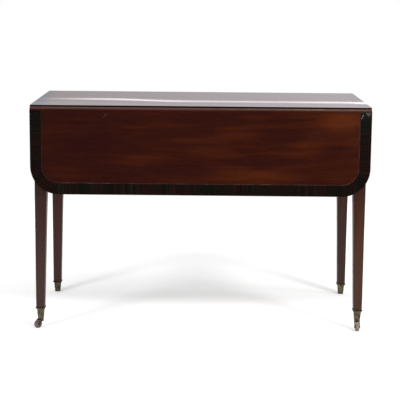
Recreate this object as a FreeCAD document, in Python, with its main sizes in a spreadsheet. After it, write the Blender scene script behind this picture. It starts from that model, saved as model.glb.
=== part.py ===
"""Pembroke table: two drop leaves on rule joints, fly brackets, one drawer and brass-shod tapered legs.

Millimetres. X runs along the table, Y from the front leaf to the back leaf and Z up.
The origin is on the floor under the middle of the top. Both leaves hang and the drawer is shut.
"""
import FreeCAD, Part
import math
import os
import Sketcher
from FreeCAD import Placement, Rotation, Vector
from types import SimpleNamespace

# Driving dimensions, piece by piece (castor turns in degrees, counts and shares as they are)
SIZES = {
    # Top, leaves and the rule joints between them
    "top_length": 1067,
    "table_height": 720,
    "top_width": 518,
    "top_thickness": 16,
    "rule_fillet": 4.5,
    "rule_radius": 9,
    "rule_gap": 0.5,
    "leaf_drop": 267,
    "leaf_corner_radius": 89,
    "band_width": 36,
    "band_thickness": 1.5,
    "string_width": 1.6,
    # Iron table hinges and their screws
    "hinge_spacing": 385,
    "hinge_width": 39,
    "hinge_gap": 0.3,
    "flap_thickness": 2,
    "short_flap_length": 28,
    "long_flap_length": 52,
    "knuckle_radius": 3.6,
    "hinge_pin_radius": 1.6,
    "pin_fit": 0.05,
    "screw_radius": 1.75,
    "screw_head_radius": 3.4,
    "hinge_screw_length": 12,
    "top_screw_bite": 11,
    # Legs
    "end_overhang": 11,
    "leg_inset": 4,
    "leg_square": 42.5,
    "ankle_square": 27,
    # Rails and their tenons
    "frieze_height": 105,
    "inner_rail_thickness": 17,
    "tenon_thickness": 8,
    "tenon_shoulder": 14,
    "mortise_wall": 2,
    "end_rail_thickness": 19,
    "end_rail_setback": 2,
    "end_tenon_length": 20,
    "upper_rail_thickness": 14,
    "lower_rail_thickness": 16,
    "rail_tenon_width": 20,
    "rail_tenon_height": 8,
    "rail_tenon_length": 15,
    "dovetail_neck": 14,
    "dovetail_flare": 20,
    "dovetail_thickness": 9,
    # Fly rails and brackets
    "fly_thickness": 19,
    "fly_setback": 1.5,
    "bracket_length": 226,
    "bracket_tip_gap": 4,
    "bracket_top_gap": 0.6,
    "ogee_radius": 29,
    "knuckle_count": 5,
    "knuckle_gap": 0.3,
    "bracket_pin_radius": 3,
    # Drawer
    "drawer_depth": 450,
    "drawer_side_gap": 1,
    "drawer_slide_gap": 0.3,
    "drawer_top_gap": 1.2,
    "drawer_front_thickness": 19,
    "drawer_side_thickness": 9,
    "drawer_back_thickness": 10,
    "drawer_back_dip": 6,
    "drawer_bottom_thickness": 6,
    "drawer_bottom_rise": 8,
    "drawer_groove": 4,
    "dovetail_lap": 6,
    "tail_count": 2,
    "tail_neck_share": 0.5,
    "tail_tip_share": 0.68,
    "bead_thickness": 3,
    "bead_inset": 4.5,
    "bead_proud": 2,
    # Knobs on the drawer and on the false drawer
    "knob_spacing": 230,
    "knob_rose_radius": 9,
    "knob_rose_thickness": 1.5,
    "knob_neck_radius": 4.5,
    "knob_neck_length": 4.5,
    "knob_radius": 12.5,
    "knob_rim_radius": 3.6,
    "knob_stud_radius": 2.5,
    "knob_stud_length": 13,
    # Runners, kickers, stops and glue blocks
    "runner_width": 24,
    "runner_overrun": 18,
    "stop_length": 13,
    "stop_width": 30,
    "stop_height": 6,
    "stop_spacing": 230,
    "block_length": 72,
    "block_square": 20,
    "block_spacing": 250,
    "block_end_gap": 34,
    # Brass caps
    "cap_height": 39,
    "cap_top_square": 24,
    "cap_low_square": 17.5,
    "cap_wall": 1.8,
    "cap_floor": 4,
    "cap_fit": 0.1,
    "collar_square": 31,
    "collar_height": 4.6,
    "collar_round_share": 0.44,
    # Castors under the front legs
    "castor_height": 30,
    "castor_trail": 13,
    "castor_turn_left": 230,
    "castor_turn_right": 270,
    "swivel_gap": 0.3,
    "horn_plate_radius": 7.6,
    "horn_plate_thickness": 3,
    "horn_boss_radius": 4.3,
    "horn_cheek": 2.4,
    "horn_root": 4,
    "pintle_radius": 2.8,
    "pintle_head_radius": 4.4,
    "pintle_head_thickness": 1.8,
    "wheel_radius": 13,
    "wheel_width": 11.5,
    "wheel_shoulder": 2.2,
    "wheel_side_gap": 0.4,
    "axle_radius": 2,
    "axle_head_radius": 2.9,
    "axle_head_thickness": 1,
    # Length by which every cutting tool runs past what it cuts
    "overrun": 1,
}

doc = FreeCAD.newDocument("pembroke_table")
sheet = doc.addObject("Spreadsheet::Sheet", "Sizes")
for row, (alias, number) in enumerate(SIZES.items(), 1):
    sheet.set(f"A{row}", alias)
    sheet.set(f"B{row}", str(number))
    sheet.setAlias(f"B{row}", alias)
doc.recompute()


class Size:
    """A number with the sheet expression that gives it, so that sums of sizes stay bound to the sheet."""

    def __init__(self, value, text):
        self.value = float(value)
        self.text = text

    @staticmethod
    def of(item):
        return item if isinstance(item, Size) else Size(item, repr(float(item)))

    def __add__(self, other):
        other = Size.of(other)
        return Size(self.value + other.value, f"({self.text} + {other.text})")

    def __sub__(self, other):
        other = Size.of(other)
        return Size(self.value - other.value, f"({self.text} - {other.text})")

    def __mul__(self, other):
        other = Size.of(other)
        return Size(self.value * other.value, f"({self.text} * {other.text})")

    def __truediv__(self, other):
        other = Size.of(other)
        return Size(self.value / other.value, f"({self.text} / {other.text})")

    def __neg__(self):
        return self * -1

    __rmul__ = __mul__


dim = SimpleNamespace(**{alias: Size(sheet.get(alias), f"Sizes.{alias}") for alias in SIZES})

# Planes and places that several pieces share
half_length = dim.top_length / 2
joint_y = dim.top_width / 2
underside = dim.table_height - dim.top_thickness
pivot_z = dim.table_height - dim.rule_fillet - dim.rule_radius
pivot_rise = pivot_z - underside
cove_radius = dim.rule_radius + dim.rule_gap
leaf_face_y = joint_y + dim.rule_radius + dim.rule_fillet
leaf_back_y = joint_y - pivot_rise
leaf_top_z = pivot_z - dim.rule_gap
leaf_low_z = pivot_z - dim.leaf_drop
frieze_low = underside - dim.frieze_height
leg_x = half_length - dim.end_overhang
leg_y = joint_y - dim.leg_inset
leg_inner_x = leg_x - dim.leg_square
leg_inner_y = leg_y - dim.leg_square
end_face_x = leg_x - dim.end_rail_setback
fly_face_y = leg_y - dim.fly_setback
fly_back_y = fly_face_y - dim.fly_thickness
rail_back_y = fly_back_y - dim.inner_rail_thickness
runner_top = frieze_low + dim.lower_rail_thickness
kicker_low = underside - dim.upper_rail_thickness

SIDES = {"front": -1, "back": 1}
ENDS = {"left": -1, "right": 1}
TURNS = {
    "+x": Rotation(Vector(0, 1, 0), 90),
    "-x": Rotation(Vector(0, 1, 0), -90),
    "+y": Rotation(Vector(1, 0, 0), -90),
    "-y": Rotation(Vector(1, 0, 0), 90),
    "+z": Rotation(),
}
parts = []


# Building helpers
def bind(thing, prop, size):
    """Drives one property of an object from the sheet."""
    thing.setExpression(prop, Size.of(size).text)


def ordered(pair):
    return sorted((Size.of(pair[0]), Size.of(pair[1])), key=lambda size: size.value)


def about(middle, width):
    """The range of a given width about a middle."""
    return middle - width / 2, middle + width / 2


def block(name, x, y, z):
    """A box between two planes on each axis, each pair in either order."""
    solid = doc.addObject("Part::Box", name)
    for axis, length, pair in zip("xyz", ("Length", "Width", "Height"), (x, y, z)):
        low, high = ordered(pair)
        bind(solid, length, high - low)
        bind(solid, f"Placement.Base.{axis}", low)
    return solid


def aim(solid, direction, place):
    """Points a solid's own Z along a direction, from a place."""
    solid.Placement = Placement(Vector(), TURNS[direction])
    for axis, size in zip("xyz", place):
        bind(solid, f"Placement.Base.{axis}", size)
    return solid


def rod(name, direction, place, radius, length):
    solid = doc.addObject("Part::Cylinder", name)
    bind(solid, "Radius", radius)
    bind(solid, "Height", length)
    return aim(solid, direction, place)


def cone(name, direction, place, first_radius, last_radius, length):
    solid = doc.addObject("Part::Cone", name)
    bind(solid, "Radius1", first_radius)
    bind(solid, "Radius2", last_radius)
    bind(solid, "Height", length)
    return aim(solid, direction, place)


def taper(name, z, low, high):
    """A tapered bar between two levels; low and high are its X and Y ranges there."""
    solid = doc.addObject("Part::Wedge", name)
    solid.Placement = Placement(Vector(), TURNS["-y"])
    bind(solid, "Ymin", z[0])
    bind(solid, "Ymax", z[1])
    for mark, (x, y) in (("", low), ("2", high)):
        x_low, x_high = ordered(x)
        y_low, y_high = ordered(y)
        bind(solid, f"X{mark}min", x_low)
        bind(solid, f"X{mark}max", x_high)
        bind(solid, f"Z{mark}min", -y_high)
        bind(solid, f"Z{mark}max", -y_low)
    return solid


def fuse(name, *solids):
    result = doc.addObject("Part::MultiFuse", name)
    result.Shapes = list(solids)
    result.Refine = True
    return result


def cut(name, base, *tools):
    result = doc.addObject("Part::Cut", name)
    result.Base = base
    result.Tool = tools[0] if len(tools) == 1 else fuse(f"{name}_tools", *tools)
    result.Refine = True
    return result


def group(name, solids):
    result = doc.addObject("Part::Compound", name)
    result.Links = list(solids)
    return result


def keep(solid):
    """Marks a solid, or a group of like solids, as a finished sub-part."""
    parts.append(solid)
    return solid


def new_sketch(body, name, plane, level):
    """A sketch on one of the body's own planes, moved along the plane's normal to a level."""
    planes = {feature.Role: feature for feature in body.Origin.OriginFeatures}
    sketch = body.newObject("Sketcher::SketchObject", name)
    sketch.AttachmentSupport = [(planes[plane], "")]
    sketch.MapMode = "FlatFace"
    bind(sketch, "AttachmentOffset.Base.z", level)
    return sketch


def draw(sketch, path):
    """Draws a closed outline of corners (x, y); a corner (x, y, centre, radius) leads on along an arc."""
    first = sketch.GeometryCount
    count = len(path)
    ends = []
    for index, corner in enumerate(path):
        after = path[(index + 1) % count]
        start = Vector(Size.of(corner[0]).value, Size.of(corner[1]).value, 0)
        stop = Vector(Size.of(after[0]).value, Size.of(after[1]).value, 0)
        if len(corner) == 2:
            sketch.addGeometry(Part.LineSegment(start, stop), False)
            ends.append((1, 2))
            continue
        centre = Vector(Size.of(corner[2][0]).value, Size.of(corner[2][1]).value, 0)
        from_angle = math.atan2(start.y - centre.y, start.x - centre.x)
        to_angle = math.atan2(stop.y - centre.y, stop.x - centre.x)
        circle = Part.Circle(centre, Vector(0, 0, 1), corner[3].value)
        leftward = (to_angle - from_angle) % math.tau < math.pi
        first_angle, last_angle = (from_angle, to_angle) if leftward else (to_angle, from_angle)
        sketch.addGeometry(Part.ArcOfCircle(circle, first_angle, last_angle), False)
        ends.append((1, 2) if leftward else (2, 1))
    for index, corner in enumerate(path):
        edge = first + index
        after = (index + 1) % count
        meeting = Sketcher.Constraint("Coincident", edge, ends[index][1], first + after, ends[after][0])
        sketch.addConstraint(meeting)
        for kind, size in zip(("DistanceX", "DistanceY"), map(Size.of, corner[:2])):
            reach = Sketcher.Constraint(kind, -1, 1, edge, ends[index][0], size.value)
            bind(sketch, f"Constraints[{sketch.addConstraint(reach)}]", size)
        if len(corner) > 2:
            bow = Sketcher.Constraint("Radius", edge, corner[3].value)
            bind(sketch, f"Constraints[{sketch.addConstraint(bow)}]", corner[3])


def prism(name, plane, path, span):
    """A body padded from one outline. An XZ_Plane outline faces -Y, so it starts at the far end."""
    low, high = ordered(span)
    body = doc.addObject("PartDesign::Body", name)
    sketch = new_sketch(body, f"{name}_outline", plane, -high if plane == "XZ_Plane" else low)
    draw(sketch, path)
    pad = body.newObject("PartDesign::Pad", f"{name}_pad")
    pad.Profile = sketch
    bind(pad, "Length", high - low)
    return body


def lathe(name, direction, place, path):
    """A body turned from a profile of (radius, height) corners."""
    body = doc.addObject("PartDesign::Body", name)
    sketch = new_sketch(body, f"{name}_profile", "XZ_Plane", 0)
    draw(sketch, path)
    turned = body.newObject("PartDesign::Revolution", f"{name}_turned")
    turned.Profile = sketch
    turned.ReferenceAxis = (sketch, ["V_Axis"])
    turned.Angle = 360
    return aim(body, direction, place)


def screw(name, direction, place, length):
    """A countersunk screw: its head lies flush at the place and it points along the direction."""
    head_depth = dim.screw_head_radius - dim.screw_radius
    head = cone(f"{name}_head", direction, place, dim.screw_head_radius, dim.screw_radius, head_depth)
    shank = rod(f"{name}_shank", direction, place, dim.screw_radius, length)
    return fuse(name, head, shank)


# Crossbands and stringing
def edge_strip(name, side, outer, inner):
    """A strip let into a leaf's face along its two ends and its rounded lower edge."""

    def run(inset, turn):
        """One edge of the strip, down the left side, along the bottom and up the right side, or back."""
        radius = dim.leaf_corner_radius - inset
        x = half_length - inset
        low = leaf_low_z + inset
        bend_x = half_length - dim.leaf_corner_radius
        bend_z = leaf_low_z + dim.leaf_corner_radius
        return [
            (-x * turn, leaf_top_z),
            (-x * turn, bend_z, (-bend_x * turn, bend_z), radius),
            (-bend_x * turn, low),
            (bend_x * turn, low, (bend_x * turn, bend_z), radius),
            (x * turn, bend_z),
            (x * turn, leaf_top_z),
        ]

    face = SIDES[side] * leaf_face_y
    back = SIDES[side] * (leaf_face_y - dim.band_thickness)
    return prism(name, "XZ_Plane", run(outer, 1) + run(inner, -1), (face, back))


def end_strips(name, outer, inner):
    """The strips let into both ends of the fixed top, in line with those of the raised leaves."""
    return group(name, [
        block(
            f"{name}_{end}",
            (sign * (half_length - outer), sign * (half_length - inner)),
            (-joint_y, joint_y),
            (dim.table_height - dim.band_thickness, dim.table_height),
        )
        for end, sign in ENDS.items()
    ])


nothing = Size.of(0)
string_inner = dim.band_width + dim.string_width
top_bands = keep(end_strips("top_crossbands", nothing, dim.band_width))
top_strings = keep(end_strips("top_stringing", dim.band_width, string_inner))


# Table hinges: three along each rule joint, pinned on its centre line
def hinge(name, side, x):
    """One hinge with its screws, and the room that it needs in the top and in the leaf."""
    sign = SIDES[side]
    third = dim.hinge_width / 3
    room = dim.knuckle_radius + dim.hinge_gap
    pin_y = sign * joint_y
    whole = about(x, dim.hinge_width)
    wide = about(x, dim.hinge_width + dim.hinge_gap * 2)
    middle = about(x, third - dim.hinge_gap)
    notch = about(x, third + dim.hinge_gap)
    up = "+z"
    out = "+y" if sign > 0 else "-y"
    along = "+x"

    def barrel(label, span, radius):
        return rod(f"{name}_{label}", along, (span[0], pin_y, pivot_z), radius, span[1] - span[0])

    flap_z = (underside, underside + dim.flap_thickness)
    short_plate = block(
        f"{name}_short_plate", whole, (sign * (joint_y - dim.short_flap_length), pin_y), flap_z)
    short_notch = block(
        f"{name}_short_notch", notch, (sign * (joint_y - room), sign * (joint_y + room)),
        (underside - dim.overrun, underside + dim.flap_thickness + dim.overrun))
    short_body = cut(f"{name}_short_body", short_plate, short_notch)
    left_barrel = barrel("left_barrel", (whole[0], notch[0]), dim.knuckle_radius)
    right_barrel = barrel("right_barrel", (notch[1], whole[1]), dim.knuckle_radius)

    flap_y = (sign * leaf_back_y, sign * (leaf_back_y + dim.flap_thickness))
    long_plate = block(f"{name}_long_plate", whole, flap_y, (pivot_z - dim.long_flap_length, pivot_z))
    long_notches = [
        block(
            f"{name}_long_notch_{end}",
            (x + edge * (dim.hinge_width / 2 + dim.overrun), x + edge * (third - dim.hinge_gap) / 2),
            (sign * (leaf_back_y - dim.overrun), sign * (leaf_back_y + dim.flap_thickness + dim.overrun)),
            (pivot_z - room, pivot_z + dim.overrun),
        )
        for end, edge in ENDS.items()
    ]
    long_body = cut(f"{name}_long_body", long_plate, *long_notches)
    middle_barrel = barrel("middle_barrel", middle, dim.knuckle_radius)
    bore = barrel("bore", wide, dim.hinge_pin_radius + dim.pin_fit)

    screw_y = sign * (joint_y - (dim.short_flap_length + room) / 2)
    screw_z = pivot_z - (dim.long_flap_length + cove_radius) / 2
    short_screws = []
    long_screws = []
    for end, edge in ENDS.items():
        screw_x = x + edge * dim.hinge_width / 4
        short_place = (screw_x, screw_y, underside)
        long_place = (screw_x, sign * leaf_back_y, screw_z)
        short_screws.append(screw(f"{name}_short_screw_{end}", up, short_place, dim.hinge_screw_length))
        long_screws.append(screw(f"{name}_long_screw_{end}", out, long_place, dim.hinge_screw_length))

    swing = block(
        f"{name}_swing", wide, (sign * (joint_y - room), sign * (leaf_face_y + dim.overrun)),
        (underside - dim.overrun, underside + dim.flap_thickness + dim.hinge_gap))
    seat = block(
        f"{name}_seat", whole, (sign * (joint_y - dim.short_flap_length), pin_y),
        (underside - dim.overrun, underside + dim.flap_thickness))
    channel = barrel("channel", wide, room)
    leaf_seat = block(
        f"{name}_leaf_seat", whole,
        (sign * (leaf_back_y - dim.overrun), sign * (leaf_back_y + dim.flap_thickness)),
        (pivot_z - dim.long_flap_length, pivot_z))
    return SimpleNamespace(
        short=cut(f"{name}_short", fuse(f"{name}_short_flap", short_body, left_barrel, right_barrel),
                  bore, *short_screws),
        long=cut(f"{name}_long", fuse(f"{name}_long_flap", long_body, middle_barrel), bore, *long_screws),
        pin=barrel("pin", whole, dim.hinge_pin_radius),
        short_screws=short_screws,
        long_screws=long_screws,
        top_room=[swing, seat, channel],
        leaf_room=[leaf_seat],
    )


hinges = {
    side: [hinge(f"{side}_hinge_{place + 2}", side, dim.hinge_spacing * place) for place in (-1, 0, 1)]
    for side in SIDES
}
all_hinges = hinges["front"] + hinges["back"]
for side, row in hinges.items():
    keep(group(f"hinge_short_flaps_{side}", [one.short for one in row]))
    keep(group(f"hinge_long_flaps_{side}", [one.long for one in row]))
    keep(group(f"hinge_leaf_screws_{side}", [each for one in row for each in one.long_screws]))
keep(group("hinge_pins", [one.pin for one in all_hinges]))
keep(group("hinge_top_screws", [each for one in all_hinges for each in one.short_screws]))


# Drop leaves, hanging
def leaf(side):
    sign = SIDES[side]
    band = keep(edge_strip(f"{side}_leaf_crossband", side, nothing, dim.band_width))
    string = keep(edge_strip(f"{side}_leaf_stringing", side, dim.band_width, string_inner))
    bend_x = half_length - dim.leaf_corner_radius
    bend_z = leaf_low_z + dim.leaf_corner_radius
    outline = [
        (-half_length, leaf_top_z),
        (-half_length, bend_z, (-bend_x, bend_z), dim.leaf_corner_radius),
        (-bend_x, leaf_low_z),
        (bend_x, leaf_low_z, (bend_x, bend_z), dim.leaf_corner_radius),
        (half_length, bend_z),
        (half_length, leaf_top_z),
    ]
    board = prism(f"{side}_leaf_blank", "XZ_Plane", outline, (sign * leaf_back_y, sign * leaf_face_y))
    cove = rod(
        f"{side}_leaf_cove", "+x", (-half_length - dim.overrun, sign * joint_y, pivot_z),
        cove_radius, dim.top_length + dim.overrun * 2)
    fittings = [tool for one in hinges[side] for tool in one.leaf_room + one.long_screws]
    keep(cut(f"{side}_leaf_board", board, cove, band, string, *fittings))


for side in SIDES:
    leaf(side)

# Inner side rails, tenoned into the legs
side_tenon_length = (
    dim.leg_square - dim.end_rail_setback - dim.end_rail_thickness / 2
    - dim.tenon_thickness / 2 - dim.mortise_wall
)
tenon_z = (frieze_low + dim.tenon_shoulder, underside - dim.tenon_shoulder)


def inner_rail(side):
    sign = SIDES[side]
    name = f"inner_rail_{side}"
    board = block(
        f"{name}_board", (-leg_inner_x, leg_inner_x), (sign * rail_back_y, sign * fly_back_y),
        (frieze_low, underside))
    reach = leg_inner_x + side_tenon_length
    tenon_y = about(sign * (rail_back_y + fly_back_y) / 2, dim.tenon_thickness)
    return keep(fuse(name, board, block(f"{name}_tenons", (-reach, reach), tenon_y, tenon_z)))


inner_rails = {side: inner_rail(side) for side in SIDES}


# Fly rails and their swinging brackets, joined by wooden knuckles on steel pins
bracket_tip_x = leg_inner_x - dim.bracket_tip_gap
bracket_pin_x = bracket_tip_x - dim.bracket_length
fly_y = (fly_face_y + fly_back_y) / 2
fly_top = underside - dim.bracket_top_gap
finger_height = (fly_top - frieze_low) / dim.knuckle_count
fly_pins = []


def finger_rooms(name, place, levels):
    """Round rooms for the other piece's fingers at the given levels of a knuckle joint."""
    room = dim.fly_thickness / 2 + dim.knuckle_gap
    return [
        rod(
            f"{name}_room_{level}", "+z",
            (place[0], place[1], frieze_low + finger_height * level - dim.knuckle_gap / 2),
            room, finger_height + dim.knuckle_gap)
        for level in levels
    ]


def fly_side(side):
    sign = SIDES[side]
    faces = (sign * fly_back_y, sign * fly_face_y)
    levels = range(SIZES["knuckle_count"])
    rail_cuts = []
    rail_pieces = [
        block(f"fly_rail_{side}_board", (-bracket_pin_x, bracket_pin_x), faces, (frieze_low, fly_top))
    ]
    for end, edge in ENDS.items():
        name = f"fly_bracket_{side}_{end}"
        place = (edge * bracket_pin_x, sign * fly_y)
        base = (*place, frieze_low)
        height = fly_top - frieze_low
        bore = rod(f"{name}_bore", "+z", base, dim.bracket_pin_radius + dim.pin_fit, height)
        fly_pins.append(rod(f"{name}_pin", "+z", base, dim.bracket_pin_radius, height))
        rail_pieces.append(rod(f"{name}_rail_knuckle", "+z", base, dim.fly_thickness / 2, height))
        rail_cuts += [bore] + finger_rooms(f"{name}_rail", place, levels[1::2])

        curve_x = bracket_tip_x - dim.ogee_radius * 4
        curve_z = frieze_low + dim.ogee_radius
        outline = [
            (edge * bracket_pin_x, frieze_low),
            (edge * curve_x, frieze_low, (edge * curve_x, curve_z), dim.ogee_radius),
            (edge * (curve_x + dim.ogee_radius), curve_z,
             (edge * (curve_x + dim.ogee_radius * 2), curve_z), dim.ogee_radius),
            (edge * (curve_x + dim.ogee_radius * 2), curve_z + dim.ogee_radius),
            (edge * bracket_tip_x, curve_z + dim.ogee_radius),
            (edge * bracket_tip_x, fly_top),
            (edge * bracket_pin_x, fly_top),
        ]
        arm = prism(f"{name}_arm", "XZ_Plane", outline, faces)
        knuckle = rod(f"{name}_knuckle", "+z", base, dim.fly_thickness / 2, height)
        blank = fuse(f"{name}_blank", arm, knuckle)
        keep(cut(name, blank, bore, *finger_rooms(name, place, levels[0::2])))
    keep(cut(f"fly_rail_{side}", fuse(f"fly_rail_{side}_blank", *rail_pieces), *rail_cuts))


for side in SIDES:
    fly_side(side)
keep(group("fly_bracket_pins", fly_pins))


# Knobs and cockbeads, alike on the drawer and on the false drawer
drawer_low = runner_top + dim.drawer_slide_gap
drawer_high = kicker_low - dim.drawer_top_gap
drawer_half = leg_inner_y - dim.drawer_side_gap
drawer_middle = (drawer_low + drawer_high) / 2


def knobs(name, end):
    direction = "+x" if ENDS[end] > 0 else "-x"
    rim_low = dim.knob_rose_thickness + dim.knob_neck_length
    rim_centre = (dim.knob_radius - dim.knob_rim_radius, rim_low + dim.knob_rim_radius)
    profile = [
        (nothing, -dim.knob_stud_length),
        (dim.knob_stud_radius, -dim.knob_stud_length),
        (dim.knob_stud_radius, nothing),
        (dim.knob_rose_radius, nothing),
        (dim.knob_rose_radius, dim.knob_rose_thickness),
        (dim.knob_neck_radius, dim.knob_rose_thickness),
        (dim.knob_neck_radius, rim_low),
        (rim_centre[0], rim_low, rim_centre, dim.knob_rim_radius),
        (dim.knob_radius, rim_centre[1], rim_centre, dim.knob_rim_radius),
        (rim_centre[0], rim_centre[1] + dim.knob_rim_radius),
        (nothing, rim_centre[1] + dim.knob_rim_radius),
    ]
    return keep(group(name, [
        lathe(
            f"{name}_{side}", direction,
            (ENDS[end] * end_face_x, sign * dim.knob_spacing / 2, drawer_middle), profile)
        for side, sign in SIDES.items()
    ]))


def beads(name, end):
    """Four mitred strips round a drawer front."""
    thick = dim.bead_thickness
    outer = [(-drawer_half, drawer_low), (drawer_half, drawer_low),
             (drawer_half, drawer_high), (-drawer_half, drawer_high)]
    inner = [(-drawer_half + thick, drawer_low + thick), (drawer_half - thick, drawer_low + thick),
             (drawer_half - thick, drawer_high - thick), (-drawer_half + thick, drawer_high - thick)]
    span = (ENDS[end] * (end_face_x - dim.bead_inset), ENDS[end] * (end_face_x + dim.bead_proud))
    strips = []
    for index, label in enumerate(("low", "back", "high", "front")):
        after = (index + 1) % len(outer)
        path = [outer[index], outer[after], inner[after], inner[index]]
        strips.append(prism(f"{name}_{label}", "YZ_Plane", path, span))
    return keep(group(name, strips))


# Drawer
front_back_x = end_face_x - dim.drawer_front_thickness
drawer_back_x = end_face_x - dim.drawer_depth
back_inner_x = drawer_back_x + dim.drawer_back_thickness
panel_low = drawer_low + dim.drawer_bottom_rise
panel_high = panel_low + dim.drawer_bottom_thickness
back_high = drawer_high - dim.drawer_back_dip


def tails(root_x, tip_x, low, high):
    """Dovetails between two levels, from the lowest up."""
    pitch = (high - low) / dim.tail_count
    corners = []
    for index in range(SIZES["tail_count"]):
        middle = low + pitch * (index + 1) - pitch / 2
        neck = pitch * dim.tail_neck_share / 2
        tip = pitch * dim.tail_tip_share / 2
        corners += [(root_x, middle - neck), (tip_x, middle - tip)]
        corners += [(tip_x, middle + tip), (root_x, middle + neck)]
    return corners


def drawer():
    inner_half = drawer_half - dim.drawer_side_thickness
    panel_half = inner_half + dim.drawer_groove
    bottom = keep(block(
        "drawer_bottom", (drawer_back_x, front_back_x + dim.drawer_groove), (-panel_half, panel_half),
        (panel_low, panel_high)))
    front_tails = tails(front_back_x, end_face_x - dim.dovetail_lap, drawer_low, drawer_high)
    back_tails = tails(back_inner_x, drawer_back_x, panel_high, back_high)
    outline = (
        [(drawer_back_x, drawer_low), (front_back_x, drawer_low)] + front_tails
        + [(front_back_x, drawer_high), (drawer_back_x, drawer_high)]
        + [(drawer_back_x, back_high), (back_inner_x, back_high)] + back_tails[::-1]
        + [(back_inner_x, panel_high), (drawer_back_x, panel_high)]
    )
    sides = []
    for side, sign in SIDES.items():
        name = f"drawer_side_{side}"
        board = prism(f"{name}_board", "XZ_Plane", outline, (sign * inner_half, sign * drawer_half))
        sides.append(keep(cut(name, board, bottom)))
    width = (-drawer_half, drawer_half)
    back = block("drawer_back_board", (drawer_back_x, back_inner_x), width, (panel_high, back_high))
    keep(cut("drawer_back", back, *sides))
    front = block("drawer_front_board", (front_back_x, end_face_x), width, (drawer_low, drawer_high))
    trim = (beads("drawer_cockbeads", "right"), knobs("drawer_knobs", "right"))
    keep(cut("drawer_front", front, *sides, bottom, *trim))


drawer()

# End rails: one plain rail with the false drawer, and two rails above and below the drawer
rail_span = (-leg_inner_y, leg_inner_y)
end_tenon_reach = leg_inner_y + dim.end_tenon_length
plain_rail = fuse(
    "end_rail_left_blank",
    block(
        "end_rail_left_board", (-end_face_x, -end_face_x + dim.end_rail_thickness), rail_span,
        (frieze_low, underside)),
    block(
        "end_rail_left_tenons", about(-end_face_x + dim.end_rail_thickness / 2, dim.tenon_thickness),
        (-end_tenon_reach, end_tenon_reach), tenon_z),
)
false_trim = (beads("false_drawer_cockbeads", "left"), knobs("false_drawer_knobs", "left"))
end_rail = keep(cut("end_rail_left", plain_rail, *false_trim))

drawer_rail_x = (leg_inner_x, end_face_x)
drawer_rail_middle = (leg_inner_x + end_face_x) / 2
rail_tenon_reach = leg_inner_y + dim.rail_tenon_length
rail_tenon_middle = frieze_low + dim.tenon_shoulder / 2
lower_rail = keep(fuse(
    "drawer_rail_lower",
    block("drawer_rail_lower_board", drawer_rail_x, rail_span, (frieze_low, runner_top)),
    block(
        "drawer_rail_lower_tenons", about(drawer_rail_middle, dim.rail_tenon_width),
        (-rail_tenon_reach, rail_tenon_reach), about(rail_tenon_middle, dim.rail_tenon_height)),
))
neck = about(drawer_rail_middle, dim.dovetail_neck)
flare = about(drawer_rail_middle, dim.dovetail_flare)
upper_rail = keep(fuse(
    "drawer_rail_upper",
    block("drawer_rail_upper_board", drawer_rail_x, rail_span, (kicker_low, underside)),
    *[
        prism(
            f"drawer_rail_upper_dovetail_{side}", "XY_Plane",
            [(neck[0], sign * leg_inner_y), (flare[0], sign * rail_tenon_reach),
             (flare[1], sign * rail_tenon_reach), (neck[1], sign * leg_inner_y)],
            (underside - dim.dovetail_thickness, underside))
        for side, sign in SIDES.items()
    ],
))

# Runners, kickers, stops and glue blocks
runner_x = (drawer_back_x - dim.runner_overrun, leg_inner_x)
top_screws = []


def top_screw(name, x, y, z):
    """A screw from below through a block or kicker into the top."""
    top_screws.append(screw(f"top_screw_{name}", "+z", (x, y, z), underside + dim.top_screw_bite - z))
    return top_screws[-1]


kicker_screw_x = about((runner_x[0] + runner_x[1]) / 2, dim.block_spacing)
for side, sign in SIDES.items():
    runner_y = (sign * rail_back_y, sign * (rail_back_y - dim.runner_width))
    keep(block(f"drawer_runner_{side}", runner_x, runner_y, (frieze_low, runner_top)))
    kicker = block(f"drawer_kicker_{side}_bar", runner_x, runner_y, (kicker_low, underside))
    kicker_screws = [
        top_screw(f"kicker_{side}_{end}", x, (runner_y[0] + runner_y[1]) / 2, kicker_low)
        for end, x in zip(ENDS, kicker_screw_x)
    ]
    keep(cut(f"drawer_kicker_{side}", kicker, *kicker_screws))

stop_x = front_back_x - dim.drawer_slide_gap
keep(group("drawer_stops", [
    block(
        f"drawer_stop_{side}", (stop_x - dim.stop_length, stop_x),
        about(sign * dim.stop_spacing / 2, dim.stop_width), (runner_top, runner_top + dim.stop_height))
    for side, sign in SIDES.items()
]))


def glue_blocks():
    """Blocks in the corner between the top and the rails, clear of the drawer."""
    low = underside - dim.block_square
    outer_x = -leg_inner_x + dim.block_end_gap + dim.block_length / 2
    block_x = {"outer": outer_x, "inner": outer_x + dim.block_spacing}
    blocks = []
    for side, sign in SIDES.items():
        y = (sign * rail_back_y, sign * (rail_back_y - dim.block_square))
        for place, x in block_x.items():
            name = f"glue_block_{side}_{place}"
            bar = block(f"{name}_bar", about(x, dim.block_length), y, (low, underside))
            blocks.append(cut(name, bar, top_screw(name, x, (y[0] + y[1]) / 2, low)))
        end_x = -end_face_x + dim.end_rail_thickness
        blocks.append(block(
            f"glue_block_end_{side}", (end_x, end_x + dim.block_square),
            about(sign * dim.block_spacing / 2, dim.block_length), (low, underside)))
    return keep(group("glue_blocks", blocks))


glue_blocks()
keep(group("top_screws", top_screws))

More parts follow.
